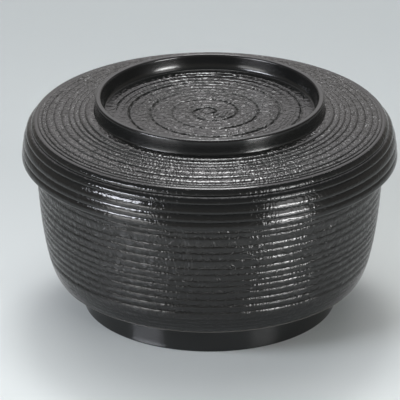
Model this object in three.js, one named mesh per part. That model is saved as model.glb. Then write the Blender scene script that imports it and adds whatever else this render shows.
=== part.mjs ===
// Rice bowl with an overlapping lid, in black lacquered ware. The bowl is a ribbed shell bonded to a
// smooth foot ring, and the lid is a ribbed shell bonded to a smooth grip ring. All four pieces are
// turned about one upright axis. Millimetres, +Z up, origin on the table under the middle of the bowl.

import * as THREE from 'three';

// Foot ring that the bowl stands on.
const FOOT_RADIUS = 38.6;
const FOOT_WALL = 2.6;
const FOOT_HEIGHT = 8.4;
const FOOT_ROUND = 0.6;

// Bowl shell, measured up from its seat on the foot ring.
const BOWL_HEIGHT = 48.6;
const BOWL_WALL = 2.3;
const RIM_RADIUS = 53;
const RIM_ROUND = 0.7;
const FLOOR_THICKNESS = 3.2;
const FLOOR_FILLET = 5;
const BOSS_DROP = 1.2;
const BOSS_CLEARANCE = 0.3;

// Sharp lower edge of the bowl's wall, which overhangs the foot ring.
const ARRIS_OVERHANG = 7.5;
const ARRIS_RISE = 1.6;
const LEDGE_WIDTH = 1;

// Swell of the bowl's wall: its lean at each end, in degrees from upright, and how far up or down the
// wall that lean is felt, as a share of the wall's height.
const ARRIS_LEAN = 45;
const ARRIS_SWEEP = 0.16;
const RIM_LEAN = 1.6;
const RIM_SWEEP = 0.3;

// Lid shell, measured from the plane where it rests on the bowl's rim.
const LID_CLEARANCE = 0.4;
const LID_WALL = 1.8;
const SEAT_MARGIN = 0.8;
const SKIRT_DEPTH = 9;
const SKIRT_WALL = 2;
const SKIRT_DRAFT = 1.4;
const SKIRT_ROUND = 0.6;
const SKIRT_TAPER = 0.4;
const SKIRT_BEND_DROP = 0.9;
const BEVEL_INSET = 2.1;
const BEVEL_RISE = 0.7;
const SHOULDER_INSET = 3.8;
const SHOULDER_RISE = 2.7;
const CROWN_RISE = 5.4;
const DISC_DROP = 0.2;
const DISC_DISH = 0.7;

// Grip ring, measured up from the floor of the groove that it stands in on the lid.
const GRIP_RADIUS = 34.6;
const GRIP_WALL = 2.1;
const GRIP_HEIGHT = 5.6;
const GRIP_ROUND = 0.7;
const GRIP_FLARE = 1;
const GRIP_FLARE_HEIGHT = 1.8;
const GROOVE_DEPTH = 1;
const GROOVE_CLEARANCE = 0.3;

// Turned ribs: distance from crest to crest, and depth of the grooves between them.
const WALL_RIB_PITCH = 2.2;
const WALL_RIB_DEPTH = 0.25;
const SKIRT_RIB_PITCH = 2.1;
const SKIRT_RIB_DEPTH = 0.35;
const CROWN_RIB_PITCH = 1.8;
const CROWN_RIB_DEPTH = 0.2;

// Fineness of the round shapes.
const TURN_STEPS = 48;
const ROUND_STEPS = 2;
const CURVE_STEPS = 4;
const INNER_WALL_STEPS = 12;

const arrisRadius = FOOT_RADIUS + ARRIS_OVERHANG;
const skirtInside = RIM_RADIUS + LID_CLEARANCE;
const skirtRadius = skirtInside + SKIRT_DRAFT + SKIRT_WALL;
const gripInside = GRIP_RADIUS - GRIP_WALL;
const gripBaseInside = gripInside - GRIP_FLARE;
const gripBaseOutside = GRIP_RADIUS + GRIP_FLARE;
const gripSeatRise = CROWN_RISE - GROOVE_DEPTH;

function at(radius, height) {
  return new THREE.Vector2(radius, height);
}

// Quarter circle of a rounded edge, turning left from a heading in degrees about its centre.
function roundedEdge(centre, radius, fromDegrees) {
  const from = THREE.MathUtils.degToRad(fromDegrees);
  const to = from + Math.PI / 2;
  return new THREE.EllipseCurve(centre.x, centre.y, radius, radius, from, to).getPoints(ROUND_STEPS);
}

// Point on a profile curve, moved into the material square to the curve.
function insetPoint(curve, share, distance) {
  const along = curve.getTangentAt(share);
  const inward = at(-along.y, along.x);
  return curve.getPointAt(share).addScaledVector(inward, distance);
}

// Turned ribs along a profile curve: the crests lie on the curve, with a groove between each two.
function ribs(curve, pitch, depth) {
  const count = Math.max(1, Math.round(curve.getLength() / pitch));
  const points = [];
  for (let half = 0; half <= 2 * count; half += 1) {
    const isGroove = half % 2 === 1;
    points.push(insetPoint(curve, half / (2 * count), isGroove ? depth : 0));
  }
  return points;
}

// Point at a distance along a line that leans outwards from upright by some degrees.
function alongLean(start, degrees, distance) {
  const lean = THREE.MathUtils.degToRad(degrees);
  return start.clone().add(at(Math.sin(lean), Math.cos(lean)).multiplyScalar(distance));
}

// A profile of radius and height, with the material on its left, turned about the upright axis.
function turned(name, profile, material) {
  const geometry = new THREE.LatheGeometry(profile, TURN_STEPS);
  geometry.rotateX(Math.PI / 2);
  const mesh = new THREE.Mesh(geometry, material);
  mesh.name = name;
  return mesh;
}

function ribbedLacquer() {
  return new THREE.MeshStandardMaterial({ color: 0x1a1b1b, roughness: 0.34, metalness: 0 });
}

function smoothLacquer() {
  return new THREE.MeshStandardMaterial({ color: 0x121313, roughness: 0.14, metalness: 0 });
}

// Plain upright ring with rounded lower edges, hanging down from its flat seat at height 0.
function footRing() {
  const inside = FOOT_RADIUS - FOOT_WALL;
  const roundHeight = FOOT_ROUND - FOOT_HEIGHT;
  const profile = [
    at(inside, 0),
    ...roundedEdge(at(inside + FOOT_ROUND, roundHeight), FOOT_ROUND, 180),
    ...roundedEdge(at(FOOT_RADIUS - FOOT_ROUND, roundHeight), FOOT_ROUND, 270),
    at(FOOT_RADIUS, 0),
    at(inside, 0),
  ];
  return turned('foot_ring', profile, smoothLacquer());
}

// Bowl with a boss underneath that centres the foot ring, a ribbed wall that swells from the arris to
// the rim, and a smooth inside that keeps the wall's thickness and rounds into a flat floor.
function bowlShell() {
  const arris = at(arrisRadius, ARRIS_RISE);
  const rim = at(RIM_RADIUS, BOWL_HEIGHT - RIM_ROUND);
  const wallHeight = rim.y - arris.y;
  const wall = new THREE.CubicBezierCurve(
    arris,
    alongLean(arris, ARRIS_LEAN, ARRIS_SWEEP * wallHeight),
    alongLean(rim, RIM_LEAN, -RIM_SWEEP * wallHeight),
    rim,
  );

  const innerWall = [];
  for (let step = 1; step <= INNER_WALL_STEPS; step += 1) {
    const point = insetPoint(wall, 1 - step / INNER_WALL_STEPS, BOWL_WALL);
    if (point.y > FLOOR_THICKNESS + FLOOR_FILLET) {
      innerWall.push(point);
    }
  }
  const wallEnd = innerWall.pop();
  const corner = at(wallEnd.x - FLOOR_FILLET / 2, FLOOR_THICKNESS);
  const floorEdge = at(corner.x - FLOOR_FILLET, FLOOR_THICKNESS);
  const fillet = new THREE.QuadraticBezierCurve(wallEnd, corner, floorEdge);

  const bossRadius = FOOT_RADIUS - FOOT_WALL - BOSS_CLEARANCE;
  const rimInside = RIM_RADIUS - BOWL_WALL;
  const profile = [
    at(0, -BOSS_DROP),
    at(bossRadius, -BOSS_DROP),
    at(bossRadius, 0),
    at(FOOT_RADIUS + LEDGE_WIDTH, 0),
    ...ribs(wall, WALL_RIB_PITCH, WALL_RIB_DEPTH),
    ...roundedEdge(at(RIM_RADIUS - RIM_ROUND, rim.y), RIM_ROUND, 0).slice(1),
    ...roundedEdge(at(rimInside + RIM_ROUND, rim.y), RIM_ROUND, 90),
    ...innerWall,
    ...fillet.getPoints(CURVE_STEPS),
    at(0, FLOOR_THICKNESS),
  ];
  return turned('bowl_shell', profile, ribbedLacquer());
}

// Lid with a flat seat for the rim, a skirt that drops outside the bowl, a bevelled shoulder, a ribbed
// crown, a groove for the grip ring and a shallow dish inside it.
function lidShell() {
  const ceiling = gripSeatRise - LID_WALL;
  const grooveInside = gripBaseInside - GROOVE_CLEARANCE;
  const grooveOutside = gripBaseOutside + GROOVE_CLEARANCE;
  const seatInside = RIM_RADIUS - BOWL_WALL - SEAT_MARGIN;
  const roundHeight = SKIRT_ROUND - SKIRT_DEPTH;
  const skirtFoot = at(skirtRadius, roundHeight);
  const skirtBend = at(skirtRadius - SKIRT_TAPER, -SKIRT_BEND_DROP);
  const bevel = at(skirtRadius - BEVEL_INSET, BEVEL_RISE);
  const shoulder = at(skirtRadius - SHOULDER_INSET, SHOULDER_RISE);
  const skirt = new THREE.QuadraticBezierCurve(skirtFoot, skirtBend, bevel);
  const crown = new THREE.LineCurve(shoulder, at(grooveOutside, CROWN_RISE));

  const discEdge = at(grooveInside, CROWN_RISE - DISC_DROP);
  const discMiddle = at(0, discEdge.y - DISC_DISH);
  const disc = new THREE.QuadraticBezierCurve(discEdge, at(grooveInside / 2, discMiddle.y), discMiddle);

  const profile = [
    at(0, ceiling),
    at(grooveOutside, ceiling),
    at(seatInside, 0),
    at(skirtInside, 0),
    ...roundedEdge(at(skirtInside + SKIRT_DRAFT + SKIRT_ROUND, roundHeight), SKIRT_ROUND, 180),
    ...roundedEdge(at(skirtRadius - SKIRT_ROUND, roundHeight), SKIRT_ROUND, 270),
    ...ribs(skirt, SKIRT_RIB_PITCH, SKIRT_RIB_DEPTH).slice(1),
    ...ribs(crown, CROWN_RIB_PITCH, CROWN_RIB_DEPTH),
    at(grooveOutside, gripSeatRise),
    at(grooveInside, gripSeatRise),
    ...disc.getPoints(CURVE_STEPS),
  ];
  return turned('lid_shell', profile, ribbedLacquer());
}

// Thin upright ring with a rounded lip and a foot that flares in a cove on both sides.
function gripRing() {
  const roundHeight = GRIP_HEIGHT - GRIP_ROUND;
  const coveTop = GROOVE_DEPTH + GRIP_FLARE_HEIGHT;
  const outerCove = new THREE.QuadraticBezierCurve(
    at(gripBaseOutside, GROOVE_DEPTH),
    at(GRIP_RADIUS, GROOVE_DEPTH),
    at(GRIP_RADIUS, coveTop),
  );
  const innerCove = new THREE.QuadraticBezierCurve(
    at(gripInside, coveTop),
    at(gripInside, GROOVE_DEPTH),
    at(gripBaseInside, GROOVE_DEPTH),
  );
  const profile = [
    at(gripBaseInside, 0),
    at(gripBaseOutside, 0),
    ...outerCove.getPoints(CURVE_STEPS),
    ...roundedEdge(at(GRIP_RADIUS - GRIP_ROUND, roundHeight), GRIP_ROUND, 0),
    ...roundedEdge(at(gripInside + GRIP_ROUND, roundHeight), GRIP_ROUND, 90),
    ...innerCove.getPoints(CURVE_STEPS),
    at(gripBaseInside, 0),
  ];
  return turned('grip_ring', profile, smoothLacquer());
}

const lid = new THREE.Group();
lid.position.z = BOWL_HEIGHT;
const grip = gripRing();
grip.position.z = gripSeatRise;
lid.add(lidShell(), grip);

const riceBowl = new THREE.Group();
riceBowl.position.z = FOOT_HEIGHT;
riceBowl.add(footRing(), bowlShell(), lid);

export default riceBowl;
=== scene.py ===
"""Rice bowl with an overlapping lid, in black lacquered ware: the visual pieces and the studio around them.

Metres, +Z up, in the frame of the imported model. Sizes are in millimetres, and are scaled once, in the mesh.
"""

import bpy
import numpy as np
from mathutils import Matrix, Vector


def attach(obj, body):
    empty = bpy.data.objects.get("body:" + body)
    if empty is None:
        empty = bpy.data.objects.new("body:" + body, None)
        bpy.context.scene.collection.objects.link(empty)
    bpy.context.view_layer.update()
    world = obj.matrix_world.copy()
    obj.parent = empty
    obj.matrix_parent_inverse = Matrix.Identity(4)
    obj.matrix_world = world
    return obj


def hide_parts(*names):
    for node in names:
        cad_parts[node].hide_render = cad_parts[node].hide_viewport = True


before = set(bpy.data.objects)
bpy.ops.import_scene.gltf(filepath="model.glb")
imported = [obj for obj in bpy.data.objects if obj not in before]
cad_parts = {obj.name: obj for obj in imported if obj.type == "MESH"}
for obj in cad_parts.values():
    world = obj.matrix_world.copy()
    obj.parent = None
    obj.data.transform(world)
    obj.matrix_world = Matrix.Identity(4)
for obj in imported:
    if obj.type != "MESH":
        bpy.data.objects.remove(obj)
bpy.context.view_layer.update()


# Foot ring
# The smooth ring that the bowl stands on: moulded resin, sprayed with black urethane lacquer and left glossy.
# It is bonded to the bowl's underside, round a low boss that centres it.

MM = 0.001
COLUMNS = 240
ROUND_STEPS = 7
SHARP_FROM = np.radians(50)

FOOT_OUTSIDE = 38.6
FOOT_INSIDE = 36.0
FOOT_TOP = 8.4
FOOT_ROUND = 0.6
LACQUER_BLACK = "#151616"
LACQUER_SMUDGE = "#1b1c1c"
LACQUER_IOR = 1.5
SMUDGE_SIZE = 14 * MM
PEEL_SIZE = 2.5 * MM
PEEL_DEPTH = 0.012 * MM


def linear(hex_colour):
    """Linear colour of an sRGB hex: c / 12.92 up to 0.04045, else ((c + 0.055) / 1.055) to the power 2.4."""
    srgb = np.array([int(hex_colour[start:start + 2], 16) for start in (1, 3, 5)]) / 255
    rgb = np.where(srgb <= 0.04045, srgb / 12.92, ((srgb + 0.055) / 1.055) ** 2.4)
    return (*rgb.tolist(), 1.0)


def add_node(tree, kind, sockets=None, **settings):
    """Adds a node to a tree, sets its settings, and links or sets each socket that is named."""
    node = tree.nodes.new(kind)
    for name, value in settings.items():
        setattr(node, name, value)
    for name, value in (sockets or {}).items():
        if isinstance(value, bpy.types.NodeSocket):
            tree.links.new(value, node.inputs[name])
        else:
            node.inputs[name].default_value = value
    return node


def new_material(name):
    """An empty node material, with its tree."""
    material = bpy.data.materials.new(name)
    material.use_nodes = True
    material.node_tree.nodes.clear()
    return material, material.node_tree


def quarter_round(radius, height, size, start):
    """Quarter circle about (radius, height): its angle runs from start to start + 90 degrees."""
    angle = np.radians(start + np.linspace(0, 90, ROUND_STEPS))
    return np.c_[radius + size * np.cos(angle), height + size * np.sin(angle)]


def straight(start, end, steps):
    """Points from start to end at even steps, with both ends."""
    return np.linspace(start, end, steps + 1)


def turned(name, radius, height, material, threads=None, cloth=None, painted_highlight=None, closed=False):
    """Surface turned about the upright axis: row i, column j is (r cos a, r sin a, z), a = 2 pi j / columns.

    A closed profile joins its last row to its first, and an open one ends in a single point on the axis at
    both ends. threads holds each corner's place on the cloth, counted in threads, cloth how far it is pressed
    in, and painted_highlight how far a painted highlight line lightens the lacquer there; all are nothing
    where they aren't given.
    """
    rows, columns = radius.shape
    threads = np.zeros((rows, columns + 1, 2)) if threads is None else threads
    angle = 2 * np.pi * np.arange(columns) / columns
    points = np.stack([radius * np.cos(angle), radius * np.sin(angle), height], axis=-1) * MM
    index = np.arange(rows * columns).reshape(rows, columns)
    if closed:
        index = np.vstack([index, index[:1]])
        threads = np.vstack([threads, threads[:1]])
    else:
        index[0] = index[0, 0]
        index[-1] = index[-1, 0]
    used, index = np.unique(index, return_inverse=True)
    index = index.reshape(-1, columns)
    ahead = np.roll(index, -1, axis=1)
    corners = np.stack([index[:-1], ahead[:-1], ahead[1:], index[1:]], axis=-1)
    places = np.stack([threads[:-1, :-1], threads[:-1, 1:], threads[1:, 1:], threads[1:, :-1]], axis=2)
    faces = corners.reshape(-1, 4).tolist()
    uv = places.reshape(-1, 2)
    if not closed:
        quads = corners[1:-1].reshape(-1, 4)
        first = corners[0][:, [0, 2, 3]]
        last = corners[-1][:, [0, 1, 2]]
        faces = quads.tolist() + first.tolist() + last.tolist()
        uv = np.vstack([
            places[1:-1].reshape(-1, 2),
            places[0][:, [0, 2, 3]].reshape(-1, 2),
            places[-1][:, [0, 1, 2]].reshape(-1, 2),
        ])
    mesh = bpy.data.meshes.new(name)
    mesh.from_pydata(points.reshape(-1, 3)[used].tolist(), [], faces)
    mesh.uv_layers.new(name="threads").data.foreach_set("uv", uv.astype(np.float32).ravel())
    for label, values in (("cloth", cloth), ("painted_highlight", painted_highlight)):
        values = np.zeros((rows, columns)) if values is None else values
        layer = mesh.attributes.new(label, "FLOAT", "POINT")
        layer.data.foreach_set("value", values.ravel()[used].astype(np.float32))
    mesh.shade_smooth()
    mesh.set_sharp_from_angle(angle=SHARP_FROM)
    mesh.materials.append(material)
    piece = bpy.data.objects.new(name, mesh)
    bpy.context.scene.collection.objects.link(piece)
    return piece


def whole_turn(profile):
    """Radius and height of a plain profile, the same all round."""
    return np.repeat(profile[:, :1], COLUMNS, axis=1), np.repeat(profile[:, 1:], COLUMNS, axis=1)


def plain_ring(name, profile, material):
    """A closed profile turned as it is, with no cloth on it."""
    radius, height = whole_turn(profile)
    return turned(name, radius, height, material, closed=True)


# Sprayed urethane lacquer, rubbed smooth: a deep black with a wet gloss, a trace of orange peel a few
# millimetres wide, and duller patches where fingers have touched it.
polished_lacquer, tree = new_material("polished_urethane_lacquer")
place = add_node(tree, "ShaderNodeTexCoord")
smudge = add_node(
    tree, "ShaderNodeTexNoise", {"Vector": place.outputs["Object"], "Scale": 1 / SMUDGE_SIZE, "Detail": 3.0}
)
peel = add_node(
    tree, "ShaderNodeTexNoise", {"Vector": place.outputs["Object"], "Scale": 1 / PEEL_SIZE, "Detail": 1.0}
)
peel_bump = add_node(
    tree, "ShaderNodeBump", {"Height": peel.outputs["Fac"], "Strength": 1.0, "Distance": PEEL_DEPTH}
)
black = add_node(
    tree,
    "ShaderNodeMix",
    {"Factor": smudge.outputs["Fac"], 6: linear(LACQUER_BLACK), 7: linear(LACQUER_SMUDGE)},
    data_type="RGBA",
)
gloss = add_node(
    tree,
    "ShaderNodeMapRange",
    {"Value": smudge.outputs["Fac"], "From Min": 0.3, "From Max": 0.7, "To Min": 0.16, "To Max": 0.24},
)
shader = add_node(
    tree,
    "ShaderNodeBsdfPrincipled",
    {
        "Base Color": black.outputs[2],
        "Roughness": gloss.outputs["Result"],
        "IOR": LACQUER_IOR,
        "Normal": peel_bump.outputs["Normal"],
    },
)
add_node(tree, "ShaderNodeOutputMaterial", {"Surface": shader.outputs["BSDF"]})

foot_profile = np.vstack([
    straight((FOOT_INSIDE, FOOT_TOP), (FOOT_INSIDE, FOOT_ROUND), 6)[:-1],
    quarter_round(FOOT_INSIDE + FOOT_ROUND, FOOT_ROUND, FOOT_ROUND, 180),
    quarter_round(FOOT_OUTSIDE - FOOT_ROUND, FOOT_ROUND, FOOT_ROUND, 270),
    straight((FOOT_OUTSIDE, FOOT_ROUND), (FOOT_OUTSIDE, FOOT_TOP), 6)[1:],
])
foot = plain_ring("smooth_foot_ring", foot_profile, polished_lacquer)
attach(foot, "bowl")
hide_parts("foot_ring")


# Bowl
# A thin moulded shell with a flat floor. Its outside is turned in broad uneven ribs and pressed with coarse
# cloth before it is lacquered; the inside, the rim and the underside are smooth.

# Real threads lie closer together. They are drawn this far apart so that each one shows.
THREAD_PITCH = 1.3
RIB_STEPS = np.array([0, 0.045, 0.09, 0.16, 0.3, 0.5, 0.7, 0.84, 0.91, 0.955])
RIB_WOBBLE = 0.08
LINE_WIDTH = 0.18
RIB_WAVES = 6
RIB_SEED = 67
DEPTH_LIMITS = (0.3, 1.6)

BOWL_SEAT = 8.4
BOSS_RADIUS = 35.7
BOSS_BOTTOM = 7.2
LEDGE_RADIUS = 39.6
ARRIS = (46.1, 10.0)
ARRIS_HANDLE = (5.24, 5.24)
RIM = (53.0, 56.3)
RIM_HANDLE = (-0.39, -13.88)
RIM_ROUND = 0.7
BOWL_WALL = 2.3
FLOOR_HEIGHT = 11.6
FLOOR_FILLET = 5.0
WALL_GROOVES = [
    0, 0.9, 2.1, 3.4, 4.8, 6.4, 8.7, 11.3, 13.7, 16.2, 18.4, 20.2, 22.4, 24.6, 27.4, 29.7, 31.9, 34.8, 36.4,
    38.6, 40.9, 43.0, 45.2, 47.28,
]
BEAD_DEPTH = 0.2
BEAD_ROWS = np.arange(2, 8)
FINE_DEPTH = 0.05
WALL_CREST = 0.66
WALL_BEND = 1.3
WALL_FLANK = np.radians(18.5)
WALL_UNEVEN = 0.15
FINE_GROOVES = 6
BOSS_ROUND = 0.3
WALL_CURVE_STEPS = 400
INNER_ROWS = 41
CREST_CLOTH = 1.3
FLANK_CLOTH = 0.35
CLOTH_FADE = ([12, 18], [0.4, 1])

LACQUER_THIN = "#201f1e"
# Paler grey brown painted along edges as a highlight line.
PAINTED_EDGE_HIGHLIGHT = "#4a4845"
SLUB_SIZE = 2.8 * MM
THREAD_STRAY = (3.6, 0.8, 0.0)
WARP_ROUND = 0.5
WEFT_ROUND = 0.35
CROSSING_LIFT = 0.35
NOTCH = 0.6
FUZZ = 1.8
WEAVE_MEAN = 1.45
GRAIN_DEPTH = 0.2 * MM

chance = np.random.default_rng(RIB_SEED)
turn = 2 * np.pi * np.arange(COLUMNS) / COLUMNS


def waver(count, size):
    """Slow change round the bowl for each of count rings: a sum of a few waves of chance height and start."""
    wave = np.arange(1, RIB_WAVES + 1)
    height = chance.normal(size=(count, RIB_WAVES)) / np.sqrt(wave)
    start = chance.uniform(0, 2 * np.pi, (count, RIB_WAVES))
    return size * np.einsum("kw,kwc->kc", height, np.cos(wave[:, None] * turn + start[..., None])) / 2


def ribbed(grooves, depths, lines, crest=0.5, bend=2.0, uneven=0.3):
    """Rows across the ribs between grooves: places along the profile, how far each is sunk, ribs so far.

    Across a rib, with t from 0 to 1, the surface sinks from the crest by depth times the share of the way to
    the groove, to the power bend (2 makes a round rib, and 1 straight flanks), and by a narrow bell of line's
    depth at the groove. Places and depths change slowly round the turn.
    """
    grooves = np.asarray(grooves, float)[:, None]
    stray = waver(len(grooves), RIB_WOBBLE)
    stray[[0, -1]] = 0
    edge = grooves + stray
    change = np.clip(1 + waver(len(grooves), uneven), *DEPTH_LIMITS)
    depth = np.asarray(depths, float)[:, None] * change
    line = np.asarray(lines, float)[:, None] * change
    t = RIB_STEPS[:, None]
    width = edge[1:, None] - edge[:-1, None]
    along = edge[:-1, None] + width * t
    rising = t < crest
    share = np.where(rising, (crest - t) / crest, (t - crest) / (1 - crest))
    bell = np.exp(-((np.where(rising, t, 1 - t) * width / LINE_WIDTH) ** 2))
    sunk = np.where(rising, depth[:-1, None], depth[1:, None]) * share**bend
    sunk = sunk + np.where(rising, line[:-1, None], line[1:, None]) * bell
    along = np.vstack([along.reshape(-1, COLUMNS), edge[-1:]])
    sunk = np.vstack([sunk.reshape(-1, COLUMNS), depth[-1:] + line[-1:]])
    count = np.append((np.arange(len(grooves) - 1)[:, None] + RIB_STEPS).ravel(), len(grooves) - 1)
    return along, sunk, count


def on_curve(curve, along, sunk):
    """Radius and height at places along a profile: interpolated by length, and sunk square to its left."""
    step = np.diff(curve, axis=0)
    length = np.concatenate([[0], np.cumsum(np.hypot(step[:, 0], step[:, 1]))])
    slope = np.gradient(curve, length, axis=0)
    slope /= np.hypot(slope[:, 0], slope[:, 1])[:, None]
    radius = np.interp(along, length, curve[:, 0]) - sunk * np.interp(along, length, slope[:, 1])
    height = np.interp(along, length, curve[:, 1]) + sunk * np.interp(along, length, slope[:, 0])
    return radius, height


def bezier(points, steps):
    """Bezier curve of 3 or 4 control points: neighbours are mixed by t, from 0 to 1, until one is left."""
    t = np.linspace(0, 1, steps + 1)[:, None]
    while len(points) > 1:
        points = [a * (1 - t) + b * t for a, b in zip(points[:-1], points[1:])]
    return points[0]


def cloth_along(ribs, radius):
    """Place on cloth whose cords lie in the ribs: an even number of threads to the turn, one cord to a rib.

    Threads step on by half a thread from each rib to the next.
    """
    threads = round(np.pi * radius / THREAD_PITCH) * 2
    around = threads * np.arange(COLUMNS + 1) / COLUMNS + 0.5 * np.floor(ribs)[:, None]
    return np.stack([around, np.repeat(ribs[:, None], COLUMNS + 1, axis=1)], axis=-1)


# Urethane lacquer over cloth-grained resin: a black that stays in the dips, and thinner and browner on the
# thread crowns. Along marked edges it is painted a paler grey brown, a painted highlight line. Warp and weft
# threads pass over and under each other, with a notch between threads. They stray and swell, so each
# crossing is a small round that glints in its own way. The grain is counted from its mean, so that it fades
# out level where the cloth ends.
cloth_lacquer, tree = new_material("cloth_grained_urethane_lacquer")
place = add_node(tree, "ShaderNodeTexCoord")
cloth_place = add_node(tree, "ShaderNodeUVMap", uv_map="threads")
pressed = add_node(tree, "ShaderNodeAttribute", attribute_name="cloth")
slub = add_node(
    tree,
    "ShaderNodeTexNoise",
    {"Vector": place.outputs["Object"], "Scale": 1 / SLUB_SIZE, "Detail": 1.0},
)
stray = add_node(
    tree,
    "ShaderNodeVectorMath",
    {0: slub.outputs["Color"], 1: THREAD_STRAY, 2: cloth_place.outputs["UV"]},
    operation="MULTIPLY_ADD",
)
half_turn = add_node(
    tree, "ShaderNodeVectorMath", {0: stray.outputs["Vector"], 1: (np.pi, np.pi, 0.0)}, operation="MULTIPLY"
)
phase = add_node(tree, "ShaderNodeVectorMath", {0: half_turn.outputs["Vector"]}, operation="SINE")
crowns = add_node(tree, "ShaderNodeVectorMath", {0: phase.outputs["Vector"]}, operation="ABSOLUTE")
phase_parts = add_node(tree, "ShaderNodeSeparateXYZ", {"Vector": phase.outputs["Vector"]})
crown_parts = add_node(tree, "ShaderNodeSeparateXYZ", {"Vector": crowns.outputs["Vector"]})
flat_warp = add_node(
    tree, "ShaderNodeMath", {0: crown_parts.outputs["X"], 1: WARP_ROUND}, operation="POWER"
)
flat_weft = add_node(
    tree, "ShaderNodeMath", {0: crown_parts.outputs["Y"], 1: WEFT_ROUND}, operation="POWER"
)
crossing = add_node(
    tree, "ShaderNodeMath", {0: phase_parts.outputs["X"], 1: phase_parts.outputs["Y"]}, operation="MULTIPLY"
)
warp_lift = add_node(
    tree,
    "ShaderNodeMath",
    {0: crossing.outputs[0], 1: CROSSING_LIFT, 2: 1 - CROSSING_LIFT},
    operation="MULTIPLY_ADD",
)
weft_lift = add_node(
    tree,
    "ShaderNodeMath",
    {0: crossing.outputs[0], 1: -CROSSING_LIFT, 2: 1 - CROSSING_LIFT},
    operation="MULTIPLY_ADD",
)
warp = add_node(
    tree, "ShaderNodeMath", {0: flat_warp.outputs[0], 1: warp_lift.outputs[0]}, operation="MULTIPLY"
)
weft = add_node(
    tree, "ShaderNodeMath", {0: flat_weft.outputs[0], 1: weft_lift.outputs[0]}, operation="MULTIPLY"
)
over = add_node(tree, "ShaderNodeMath", {0: warp.outputs[0], 1: weft.outputs[0]}, operation="MAXIMUM")
notch = add_node(
    tree, "ShaderNodeMath", {0: flat_warp.outputs[0], 1: NOTCH, 2: 1 - NOTCH}, operation="MULTIPLY_ADD"
)
weave = add_node(tree, "ShaderNodeMath", {0: over.outputs[0], 1: notch.outputs[0]}, operation="MULTIPLY")
fuzz = add_node(
    tree, "ShaderNodeTexNoise", {"Vector": cloth_place.outputs["UV"], "Scale": 0.8, "Detail": 2.0}
)
uneven_weave = add_node(
    tree,
    "ShaderNodeMath",
    {0: fuzz.outputs["Fac"], 1: FUZZ, 2: weave.outputs[0]},
    operation="MULTIPLY_ADD",
)
centred = add_node(
    tree, "ShaderNodeMath", {0: uneven_weave.outputs[0], 1: WEAVE_MEAN}, operation="SUBTRACT"
)
grain = add_node(
    tree, "ShaderNodeMath", {0: centred.outputs[0], 1: pressed.outputs["Fac"]}, operation="MULTIPLY"
)
grain_bump = add_node(
    tree, "ShaderNodeBump", {"Height": grain.outputs[0], "Strength": 1.0, "Distance": GRAIN_DEPTH}
)
# Painted highlight line: where the mesh marks it, the lacquer is mixed towards a paler grey brown.
painted_highlight_mask = add_node(tree, "ShaderNodeAttribute", attribute_name="painted_highlight")
thin = add_node(
    tree, "ShaderNodeMath", {0: weave.outputs[0], 1: pressed.outputs["Fac"]}, operation="MULTIPLY"
)
thin_lacquer = add_node(
    tree,
    "ShaderNodeMix",
    {"Factor": thin.outputs[0], 6: linear(LACQUER_BLACK), 7: linear(LACQUER_THIN)},
    data_type="RGBA",
)
lacquer_with_painted_edge = add_node(
    tree,
    "ShaderNodeMix",
    {"Factor": painted_highlight_mask.outputs["Fac"], 6: thin_lacquer.outputs[2], 7: linear(PAINTED_EDGE_HIGHLIGHT)},
    data_type="RGBA",
)
dull = add_node(
    tree,
    "ShaderNodeMapRange",
    {"Value": slub.outputs["Fac"], "From Min": 0.3, "From Max": 0.7, "To Min": 0.11, "To Max": 0.17},
)
shader = add_node(
    tree,
    "ShaderNodeBsdfPrincipled",
    {
        "Base Color": lacquer_with_painted_edge.outputs[2],
        "Roughness": dull.outputs["Result"],
        "IOR": LACQUER_IOR,
        "Normal": grain_bump.outputs["Normal"],
    },
)
add_node(tree, "ShaderNodeOutputMaterial", {"Surface": shader.outputs["BSDF"]})

arris = np.array(ARRIS)
rim = np.array(RIM)
wall_curve = bezier([arris, arris + ARRIS_HANDLE, rim + RIM_HANDLE, rim], WALL_CURVE_STEPS)
wall_step = np.gradient(wall_curve, axis=0)
wall_length = np.concatenate([[0], np.cumsum(np.hypot(*np.diff(wall_curve, axis=0).T))])
wall_lean = np.interp(WALL_GROOVES, wall_length, np.arctan2(wall_step[:, 0], wall_step[:, 1]))
rib_width = np.diff(WALL_GROOVES, prepend=0)
wall_depths = np.tan(WALL_FLANK + wall_lean) * (1 - WALL_CREST) * rib_width / WALL_BEND
wall_depths[:FINE_GROOVES] = FINE_DEPTH
wall_depths[:2] = BEAD_DEPTH
wall_depths[-1] = 0
no_lines = np.zeros(len(WALL_GROOVES))
wall_along, wall_sunk, wall_ribs = ribbed(
    WALL_GROOVES, wall_depths, no_lines, WALL_CREST, WALL_BEND, WALL_UNEVEN
)
wall_radius, wall_height = on_curve(wall_curve, wall_along, wall_sunk)

inner_along = np.linspace(WALL_CURVE_STEPS, 0, INNER_ROWS).astype(int)
wall_slope = wall_step / np.hypot(wall_step[:, 0], wall_step[:, 1])[:, None]
inner_wall = (wall_curve + BOWL_WALL * np.c_[-wall_slope[:, 1], wall_slope[:, 0]])[inner_along]
inner_wall = inner_wall[inner_wall[:, 1] > FLOOR_HEIGHT + FLOOR_FILLET]
fillet_end = inner_wall[-1]
fillet_corner = np.array([fillet_end[0] - FLOOR_FILLET / 2, FLOOR_HEIGHT])
floor_edge = fillet_corner - (FLOOR_FILLET, 0)

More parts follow.
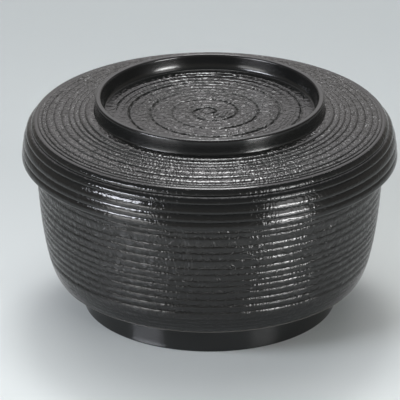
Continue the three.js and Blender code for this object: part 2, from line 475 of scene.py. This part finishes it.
underside_radius, underside_height = whole_turn(np.vstack([
    straight((0, BOSS_BOTTOM), (BOSS_RADIUS - BOSS_ROUND, BOSS_BOTTOM), 10),
    quarter_round(BOSS_RADIUS - BOSS_ROUND, BOSS_BOTTOM + BOSS_ROUND, BOSS_ROUND, 270),
    straight((BOSS_RADIUS, BOWL_SEAT), (LEDGE_RADIUS, BOWL_SEAT), 3),
    straight((LEDGE_RADIUS, BOWL_SEAT), ARRIS, 6)[1:-1],
]))
inside_radius, inside_height = whole_turn(np.vstack([
    quarter_round(RIM[0] - RIM_ROUND, RIM[1], RIM_ROUND, 0)[1:],
    quarter_round(RIM[0] - BOWL_WALL + RIM_ROUND, RIM[1], RIM_ROUND, 90),
    inner_wall[1:],
    bezier([fillet_end, fillet_corner, floor_edge], 10)[1:],
    straight(floor_edge, (0, FLOOR_HEIGHT), 10)[1:],
]))
bowl_radius = np.vstack([underside_radius, wall_radius, inside_radius])
bowl_height = np.vstack([underside_height, wall_height, inside_height])
wall_start = len(underside_radius)
wall_end = wall_start + len(wall_radius)
bowl_cloth = np.zeros_like(bowl_radius)
outside = slice(wall_start + 1, wall_end - 1)
bowl_cloth[outside] = np.where(wall_ribs[1:-1, None] % 1 > WALL_CREST, FLANK_CLOTH, CREST_CLOTH)
bowl_cloth[outside] *= np.interp(bowl_height[outside], *CLOTH_FADE)
bowl_threads = np.zeros((len(bowl_radius), COLUMNS + 1, 2))
bowl_threads[wall_start:wall_end] = cloth_along(wall_ribs, RIM[0])
bowl_painted_highlight = np.zeros_like(bowl_radius)
# A painted highlight line along the bead at the arris.
bowl_painted_highlight[wall_start + BEAD_ROWS] = 1
bowl = turned("ribbed_bowl", bowl_radius, bowl_height, cloth_lacquer, bowl_threads, bowl_cloth, bowl_painted_highlight)
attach(bowl, "bowl")
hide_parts("bowl_shell")


# Lid
# A moulded resin cover in the bowl's lacquer, which rests on the rim and drops outside it. Its skirt and
# crown are turned in ribs, with a flat edge and a lightly grained bevel between them. The disc inside the
# grip ring has a spiral line cut through the pressed cloth.

LID_CURVE_STEPS = 200
LID_LINE_STEPS = 40
LID_SEAT = 57.0
SKIRT_FOOT = 48.0
SKIRT_OUTSIDE = 56.8
SKIRT_WALL = 2.0
SKIRT_TOP_INSIDE = 53.4
SKIRT_ROUND = 0.6
SEAT_INSIDE = 49.9
CEILING = (35.9, 59.6)
SKIRT_GROOVES = [0, 1.6, 3.8, 6.5, 9.0]
SKIRT_DEPTHS = [0, 0.36, 0.44, 0.42, 0.62]
SKIRT_CREST = 0.25
SKIRT_BEND = 2.0
SKIRT_UNEVEN = 0.15
SKIRT_HANDLE = (56.4, 56.1)
BEVEL_DEPTHS = [0.55, 0.12]
BEVEL = (54.3, 58.2)
EDGE_ROWS = 4
EDGE_FLAT = 0.65
EDGE_FACE = np.radians(70)
SHOULDER = (53.0, 59.7)
CROWN_TOP = (34.9, 62.5)
CROWN_GROOVES = [53.0, 52.0, 50.9, 49.3, 47.0, 44.7, 42.6, 41.0, 39.4, 37.5, 34.9]
CROWN_FLANK = np.radians(12)
CROWN_BEND = 1.3
CROWN_LINE = 0.09
CROWN_UNEVEN = 0.12
CLOTH_RADIUS = 48.0
SKIRT_CLOTH = 0.22
BEVEL_CLOTH = 0.35
CROWN_OUTER_SHARE = 0.45
CROWN_OUTER_CLOTH = 0.4
CROWN_INNER_CLOTH = 1.5
CROWN_CLOTH_FADE = ([0.6, 2.5, 5, 7.5], [0, 1, 1, 0.7])
FRONT = 1.5 * np.pi
FRONT_WIDTH = 0.22
FRONT_FILLED = 0.4
DISC_CLOTH = ([18, 28], [0.8, 0.4])
GROOVE_FLOOR = 61.4
DISC_RADIUS = 31.48
DISC_EDGE = 62.4
DISC_DISH = 0.7
DISC_ROWS = 155
DISC_THREADS = (2.4, 1.0)
RIPPLES = 3
RIPPLE_DEPTH = 0.09
RIPPLE_GROWTH = ([5, 8, 12, 26], [3, 1, 1, 2.4])
RIPPLE_UNEVEN = 0.6
RIPPLE_LIMITS = (0.2, 2)
SPIRAL_PITCH = 6.5
SPIRAL_START = 1.2
SPIRAL_OFFSET = 1.6
SPIRAL_END = 29.0
SPIRAL_WIDTH = 0.22
SPIRAL_DEPTH = 0.32
SPIRAL_FADE_IN = 1
SPIRAL_FADE_OUT = 0.5
SPIRAL_UNEVEN = 0.2
SPIRAL_TWIST = 0.8
SECOND_LINE = 1.1
SECOND_TWIST = 0.3
SECOND_REACH = (2, 0.2)
SECOND_DEPTH = 0.5 * SPIRAL_DEPTH

skirt_curve = bezier(
    [np.array((SKIRT_OUTSIDE, SKIRT_FOOT + SKIRT_ROUND)), np.array(SKIRT_HANDLE), np.array(BEVEL)],
    LID_CURVE_STEPS,
)
skirt_length = np.hypot(*np.diff(skirt_curve, axis=0).T).sum()
skirt_grooves = np.array(SKIRT_GROOVES) * skirt_length / SKIRT_GROOVES[-1]
skirt_lines = np.zeros(len(skirt_grooves))
skirt_along, skirt_sunk, skirt_ribs = ribbed(
    skirt_grooves, SKIRT_DEPTHS, skirt_lines, SKIRT_CREST, SKIRT_BEND, SKIRT_UNEVEN
)
skirt_radius, skirt_height = on_curve(skirt_curve, skirt_along, skirt_sunk)
edge_steps = np.append(RIB_STEPS, 1)[-EDGE_ROWS:]
edge_share = ((edge_steps - edge_steps[0]) / (1 - edge_steps[0]))[:, None]
skirt_radius[-EDGE_ROWS:] = skirt_radius[-EDGE_ROWS] - EDGE_FLAT * np.sin(EDGE_FACE) * edge_share
skirt_height[-EDGE_ROWS:] = skirt_height[-EDGE_ROWS] + EDGE_FLAT * np.cos(EDGE_FACE) * edge_share

bevel_curve = straight(BEVEL, SHOULDER, LID_LINE_STEPS)
bevel_length = np.hypot(SHOULDER[0] - BEVEL[0], SHOULDER[1] - BEVEL[1])
bevel_along, bevel_sunk, bevel_ribs = ribbed([0, bevel_length], BEVEL_DEPTHS, [0, 0])
bevel_radius, bevel_height = on_curve(bevel_curve, bevel_along[1:-1], bevel_sunk[1:-1])

crown_curve = straight(SHOULDER, CROWN_TOP, LID_LINE_STEPS)
crown_slope = np.hypot(1, (CROWN_TOP[1] - SHOULDER[1]) / (SHOULDER[0] - CROWN_TOP[0]))
crown_grooves = (SHOULDER[0] - np.array(CROWN_GROOVES)) * crown_slope
crown_depths = np.tan(CROWN_FLANK) * np.diff(crown_grooves, append=0) / 2 / CROWN_BEND
crown_lines = np.full(len(crown_grooves), CROWN_LINE)
crown_depths[0] = crown_depths[1]
crown_depths[-1] = 0
crown_lines[[0, -1]] = 0
crown_along, crown_sunk, crown_ribs = ribbed(
    crown_grooves, crown_depths, crown_lines, bend=CROWN_BEND, uneven=CROWN_UNEVEN
)
crown_radius, crown_height = on_curve(crown_curve, crown_along, crown_sunk)

disc_curve = bezier(
    [
        np.array((DISC_RADIUS, DISC_EDGE)),
        np.array((DISC_RADIUS / 2, DISC_EDGE - DISC_DISH)),
        np.array((0, DISC_EDGE - DISC_DISH)),
    ],
    LID_CURVE_STEPS,
)
disc_length = np.hypot(*np.diff(disc_curve, axis=0).T).sum()
disc_along = np.repeat(np.linspace(0, disc_length, DISC_ROWS)[:, None], COLUMNS, axis=1)
disc_radius, disc_height = on_curve(disc_curve, disc_along, np.zeros_like(disc_along))
spiral_line = SPIRAL_OFFSET + SPIRAL_PITCH * (turn / (2 * np.pi) + 0.5)
spiral_off = (disc_radius - spiral_line) % SPIRAL_PITCH - SPIRAL_PITCH / 2
spiral_fade = np.interp(
    disc_radius,
    [SPIRAL_START - SPIRAL_FADE_IN, SPIRAL_START, SPIRAL_END, SPIRAL_END + SPIRAL_FADE_OUT],
    [0, 1, 1, 0],
)
# Low ripples run beside the spiral. The line's depth swells twice a turn, and a second, shallower line comes
# and goes along it; both are bells across the line.
ripple = 0.5 + 0.5 * np.cos(2 * np.pi * RIPPLES * spiral_off / SPIRAL_PITCH)
ripple *= np.clip(1 + waver(1, RIPPLE_UNEVEN), *RIPPLE_LIMITS) * np.interp(disc_radius, *RIPPLE_GROWTH)
first = 1 - SPIRAL_UNEVEN + SPIRAL_UNEVEN * np.cos(2 * turn - SPIRAL_TWIST * disc_radius)
first *= np.exp(-((spiral_off / SPIRAL_WIDTH) ** 2))
second = np.clip(SECOND_REACH[0] * np.cos(2 * turn + SECOND_TWIST * disc_radius) - SECOND_REACH[1], 0, 1)
second *= np.exp(-(((spiral_off - SECOND_LINE) / SPIRAL_WIDTH) ** 2))
disc_height = disc_height - spiral_fade * (
    SPIRAL_DEPTH * first + SECOND_DEPTH * second + RIPPLE_DEPTH * ripple
)

under_radius, under_height = whole_turn(np.vstack([
    straight((0, CEILING[1]), CEILING, 10),
    straight(CEILING, (SEAT_INSIDE, LID_SEAT), 6)[1:],
    straight((SEAT_INSIDE, LID_SEAT), (SKIRT_TOP_INSIDE, LID_SEAT), 3)[1:],
    straight(
        (SKIRT_TOP_INSIDE, LID_SEAT), (SKIRT_OUTSIDE - SKIRT_WALL, SKIRT_FOOT + SKIRT_ROUND), 6
    )[1:-1],
    quarter_round(SKIRT_OUTSIDE - SKIRT_WALL + SKIRT_ROUND, SKIRT_FOOT + SKIRT_ROUND, SKIRT_ROUND, 180),
    quarter_round(SKIRT_OUTSIDE - SKIRT_ROUND, SKIRT_FOOT + SKIRT_ROUND, SKIRT_ROUND, 270)[:-1],
]))
groove_radius, groove_height = whole_turn(np.array([
    (CROWN_TOP[0], GROOVE_FLOOR), (DISC_RADIUS, GROOVE_FLOOR),
]))
lid_radius = np.vstack([under_radius, skirt_radius, bevel_radius, crown_radius, groove_radius, disc_radius])
lid_height = np.vstack([under_height, skirt_height, bevel_height, crown_height, groove_height, disc_height])
ribs_start = len(under_radius)
ribs_end = len(lid_radius) - len(groove_radius) - len(disc_radius)
crown_start = ribs_end - len(crown_radius)
lid_ribs = np.concatenate([skirt_ribs, skirt_ribs[-1] + bevel_ribs[1:-1], skirt_ribs[-1] + 1 + crown_ribs])
# The lacquer fills the cloth more on the skirt and the bevel, on the outer side of each of the crown's ribs,
# at the crown's front, and towards the edge of the disc.
lid_cloth = np.zeros_like(lid_radius)
on_crown = slice(crown_start + 1, ribs_end)
lid_cloth[ribs_start:crown_start] = SKIRT_CLOTH
lid_cloth[crown_start - len(bevel_radius) - EDGE_ROWS:crown_start] = BEVEL_CLOTH
lid_cloth[on_crown] = np.where(
    crown_ribs[1:, None] % 1 < CROWN_OUTER_SHARE, CROWN_OUTER_CLOTH, CROWN_INNER_CLOTH
)
lid_cloth[on_crown] *= np.interp(crown_ribs[1:, None], *CROWN_CLOTH_FADE)
lid_cloth[on_crown] *= 1 - FRONT_FILLED * np.exp(-(((turn - FRONT) / FRONT_WIDTH) ** 2))
lid_cloth[ribs_end:] = np.interp(lid_radius[ribs_end:], *DISC_CLOTH)
lid_threads = np.zeros((len(lid_radius), COLUMNS + 1, 2))
lid_threads[ribs_start:ribs_end] = cloth_along(lid_ribs, CLOTH_RADIUS)
closed_turn = np.append(turn, 2 * np.pi)
closed_radius = np.hstack([lid_radius, lid_radius[:, :1]])[ribs_end:]
lid_threads[ribs_end:, :, 0] = closed_radius * np.cos(closed_turn) / DISC_THREADS[0]
lid_threads[ribs_end:, :, 1] = closed_radius * np.sin(closed_turn) / DISC_THREADS[1]
lid_painted_highlight = np.zeros_like(lid_radius)
# A painted highlight line along the crown's outer edge.
lid_painted_highlight[crown_start] = 1
lid = turned("ribbed_lid", lid_radius, lid_height, cloth_lacquer, lid_threads, lid_cloth, lid_painted_highlight)
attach(lid, "lid")
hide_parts("lid_shell")


# Grip ring
# The smooth ring on the crown that fingers lift the lid by, in the foot ring's lacquer. It is bonded into a
# shallow groove, and its foot spreads into the crown in a cove on both sides.

GRIP_OUTSIDE = 34.6
GRIP_INSIDE = 32.7
GRIP_FLARE = 1.2
GRIP_OUTER_FLARE = 0.27
GRIP_SEAT = 61.4
GRIP_COVE_FOOT = 62.4
GRIP_COVE_TOP = 64.2
GRIP_OUTER_HANDLE = 0.1
GRIP_INNER_HANDLE = (-0.35, 0.3)
GRIP_TOP = 67.0
GRIP_ROUND = 0.7

grip_profile = np.vstack([
    straight((GRIP_INSIDE - GRIP_FLARE, GRIP_SEAT), (GRIP_OUTSIDE + GRIP_OUTER_FLARE, GRIP_SEAT), 4)[:-1],
    straight(
        (GRIP_OUTSIDE + GRIP_OUTER_FLARE, GRIP_SEAT), (GRIP_OUTSIDE + GRIP_OUTER_FLARE, GRIP_COVE_FOOT), 2
    )[:-1],
    bezier(
        [
            np.array((GRIP_OUTSIDE + GRIP_OUTER_FLARE, GRIP_COVE_FOOT)),
            np.array((GRIP_OUTSIDE, GRIP_COVE_FOOT + GRIP_OUTER_HANDLE)),
            np.array((GRIP_OUTSIDE, GRIP_COVE_TOP)),
        ],
        10,
    ),
    quarter_round(GRIP_OUTSIDE - GRIP_ROUND, GRIP_TOP - GRIP_ROUND, GRIP_ROUND, 0),
    quarter_round(GRIP_INSIDE + GRIP_ROUND, GRIP_TOP - GRIP_ROUND, GRIP_ROUND, 90),
    bezier(
        [
            np.array((GRIP_INSIDE, GRIP_TOP - GRIP_ROUND)),
            np.array((GRIP_INSIDE, GRIP_COVE_FOOT)) + GRIP_INNER_HANDLE,
            np.array((GRIP_INSIDE - GRIP_FLARE, GRIP_COVE_FOOT)),
        ],
        16,
    )[1:],
])
grip = plain_ring("smooth_grip_ring", grip_profile, polished_lacquer)
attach(grip, "lid")
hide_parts("grip_ring")


# Floor
# A wide sheet of pale grey studio paper that the bowl stands on. It is painted paler in front and darker
# towards the back, a painted falloff of light. It lies just under the foot.

PAPER_RADIUS = 4000
PAPER_SIDES = 96
PAPER_LEVEL = -0.05
# Paper colour in front and behind: the change between them is a painted falloff of light.
PAPER_PAINTED_LIT = "#dfe4e3"
PAPER_PAINTED_DIM = "#bec4c5"

# Calendered paper: matt and even to the camera, as through a polarising filter, with a sheen that shows only
# in what the lacquer mirrors.
paper, tree = new_material("matt_studio_paper")
place = add_node(tree, "ShaderNodeTexCoord")
place_parts = add_node(tree, "ShaderNodeSeparateXYZ", {"Vector": place.outputs["Object"]})
# A painted falloff of light: the paper turns from paler in front to darker behind.
depth = add_node(
    tree,
    "ShaderNodeMapRange",
    {"Value": place_parts.outputs["Y"], "From Min": -0.12, "From Max": 0.25, "To Min": 0.0, "To Max": 1.0},
    interpolation_type="SMOOTHSTEP",
)
paper_with_painted_falloff = add_node(
    tree,
    "ShaderNodeMix",
    {"Factor": depth.outputs["Result"], 6: linear(PAPER_PAINTED_LIT), 7: linear(PAPER_PAINTED_DIM)},
    data_type="RGBA",
)
matt = add_node(
    tree,
    "ShaderNodeBsdfPrincipled",
    {"Base Color": paper_with_painted_falloff.outputs[2], "Roughness": 1.0, "Specular IOR Level": 0.0},
)
sheen = add_node(
    tree,
    "ShaderNodeBsdfPrincipled",
    {"Base Color": paper_with_painted_falloff.outputs[2], "Roughness": 0.15, "IOR": 2.2},
)
seen_by = add_node(tree, "ShaderNodeLightPath")
paper_face = add_node(
    tree,
    "ShaderNodeMixShader",
    {0: seen_by.outputs["Is Camera Ray"], 1: sheen.outputs["BSDF"], 2: matt.outputs["BSDF"]},
)
add_node(tree, "ShaderNodeOutputMaterial", {"Surface": paper_face.outputs["Shader"]})

floor_turn = 2 * np.pi * np.arange(PAPER_SIDES) / PAPER_SIDES
floor_points = MM * np.c_[
    PAPER_RADIUS * np.cos(floor_turn),
    PAPER_RADIUS * np.sin(floor_turn),
    np.full(PAPER_SIDES, PAPER_LEVEL),
]
floor_mesh = bpy.data.meshes.new("paper_floor")
floor_mesh.from_pydata(floor_points.tolist(), [], [list(range(PAPER_SIDES))])
floor_mesh.materials.append(paper)
floor = bpy.data.objects.new("paper_floor", floor_mesh)
bpy.context.scene.collection.objects.link(floor)


# Light
# A softbox and a large dim panel on each side, a panel overhead and a softbox high behind. The room around is
# pale, and brighter behind the bowl than in front of it.

MIDDLE = Vector((0, 0, 0.0335))
ROOM_LOW = "#686561"
ROOM_HIGH = "#454646"
BACKDROP_LOW = "#979593"
BACKDROP_HIGH = "#fffcff"
ROOM_STRENGTH = 1.8


def softbox(name, azimuth, elevation, distance, width, height, radiance, tint="#ffffff", grid=90):
    """Flat light aimed at the bowl: its power is radiance times pi times its area.

    Azimuth 0 stands where the camera does, and grows to the right. A grid keeps its light within that many
    degrees of straight ahead, as (tan g - tan a) / (tan g - g); its power is cut so that straight ahead stays
    as bright.
    """
    lamp = bpy.data.lights.new(name, "AREA")
    lamp.shape = "RECTANGLE"
    lamp.size = width
    lamp.size_y = height
    lamp.energy = radiance * np.pi * width * height
    if grid < 90:
        g = np.radians(grid)
        lamp.spread = 2 * g
        lamp.energy *= (np.tan(g) - g) / np.tan(g)
    lamp.color = linear(tint)[:3]
    a, e = np.radians((azimuth, elevation))
    towards = Vector((np.sin(a) * np.cos(e), -np.cos(a) * np.cos(e), np.sin(e)))
    light = bpy.data.objects.new(name, lamp)
    light.location = MIDDLE + distance * towards
    light.rotation_mode = "QUATERNION"
    light.rotation_quaternion = towards.to_track_quat("Z", "Y")
    light.visible_camera = False
    bpy.context.scene.collection.objects.link(light)


softbox("left_softbox", -57, 28, 0.6, width=0.27, height=0.09, radiance=30, tint="#f3f6ff", grid=45)
softbox("left_panel", -46, 8, 1.5, width=0.75, height=0.3, radiance=6)
softbox("right_softbox", 47, 7, 1.5, width=0.55, height=0.2, radiance=36, grid=35)
softbox("right_panel", 50, 27, 1.5, width=0.55, height=0.5, radiance=2.8)
softbox("ceiling_panel", 180, 84, 1.0, width=0.5, height=0.45, radiance=2.2)
softbox("top_softbox", 180, 64, 1.15, width=0.3, height=0.17, radiance=23)

room = bpy.data.worlds.new("pale_room")
bpy.context.scene.world = room
room.use_nodes = True
tree = room.node_tree
tree.nodes.clear()
towards = add_node(tree, "ShaderNodeTexCoord")
parts = add_node(tree, "ShaderNodeSeparateXYZ", {"Vector": towards.outputs["Generated"]})
behind = add_node(
    tree,
    "ShaderNodeMapRange",
    {"Value": parts.outputs["Y"], "From Min": 0.0, "From Max": 0.5, "To Min": 0.0, "To Max": 1.0},
    interpolation_type="SMOOTHSTEP",
)
sideways = add_node(tree, "ShaderNodeMath", {0: parts.outputs["X"]}, operation="ABSOLUTE")
middle = add_node(
    tree,
    "ShaderNodeMapRange",
    {"Value": sideways.outputs[0], "From Min": 0.2, "From Max": 0.6, "To Min": 1.0, "To Max": 0.0},
    interpolation_type="SMOOTHSTEP",
)
backdrop = add_node(
    tree, "ShaderNodeMath", {0: behind.outputs["Result"], 1: middle.outputs["Result"]}, operation="MULTIPLY"
)
upward = add_node(
    tree,
    "ShaderNodeMapRange",
    {"Value": parts.outputs["Z"], "From Min": 0.1, "From Max": 0.75, "To Min": 0.0, "To Max": 1.0},
    interpolation_type="SMOOTHSTEP",
)
side_tone = add_node(
    tree,
    "ShaderNodeMix",
    {"Factor": upward.outputs["Result"], 6: linear(ROOM_LOW), 7: linear(ROOM_HIGH)},
    data_type="RGBA",
)
backdrop_tone = add_node(
    tree,
    "ShaderNodeMix",
    {"Factor": upward.outputs["Result"], 6: linear(BACKDROP_LOW), 7: linear(BACKDROP_HIGH)},
    data_type="RGBA",
)
room_tone = add_node(
    tree,
    "ShaderNodeMix",
    {"Factor": backdrop.outputs[0], 6: side_tone.outputs[2], 7: backdrop_tone.outputs[2]},
    data_type="RGBA",
)
glow = add_node(
    tree, "ShaderNodeBackground", {"Color": room_tone.outputs[2], "Strength": ROOM_STRENGTH}
)
add_node(tree, "ShaderNodeOutputWorld", {"Surface": glow.outputs["Background"]})


# Camera
# A long lens a little over a metre away, looking down on the lid. It is aimed a little off the bowl's middle,
# which puts the bowl where it stands in the frame.

CAMERA_DISTANCE = 1.2
CAMERA_ELEVATION = np.radians(24.13)
CAMERA_LENS = 354.96
SENSOR_WIDTH = 36
SEEN_TO = 100
AIM = Vector((-0.00292, 0, 0.03254))

eye = MIDDLE + CAMERA_DISTANCE * Vector((0, -np.cos(CAMERA_ELEVATION), np.sin(CAMERA_ELEVATION)))
lens = bpy.data.cameras.new("camera")
lens.sensor_width = SENSOR_WIDTH
lens.lens = CAMERA_LENS
lens.clip_end = SEEN_TO
camera = bpy.data.objects.new("camera", lens)
camera.location = eye
camera.rotation_mode = "QUATERNION"
camera.rotation_quaternion = (AIM - eye).to_track_quat("-Z", "Y")
bpy.context.scene.collection.objects.link(camera)
bpy.context.scene.camera = camera
bpy.context.scene.view_settings.view_transform = "Standard"
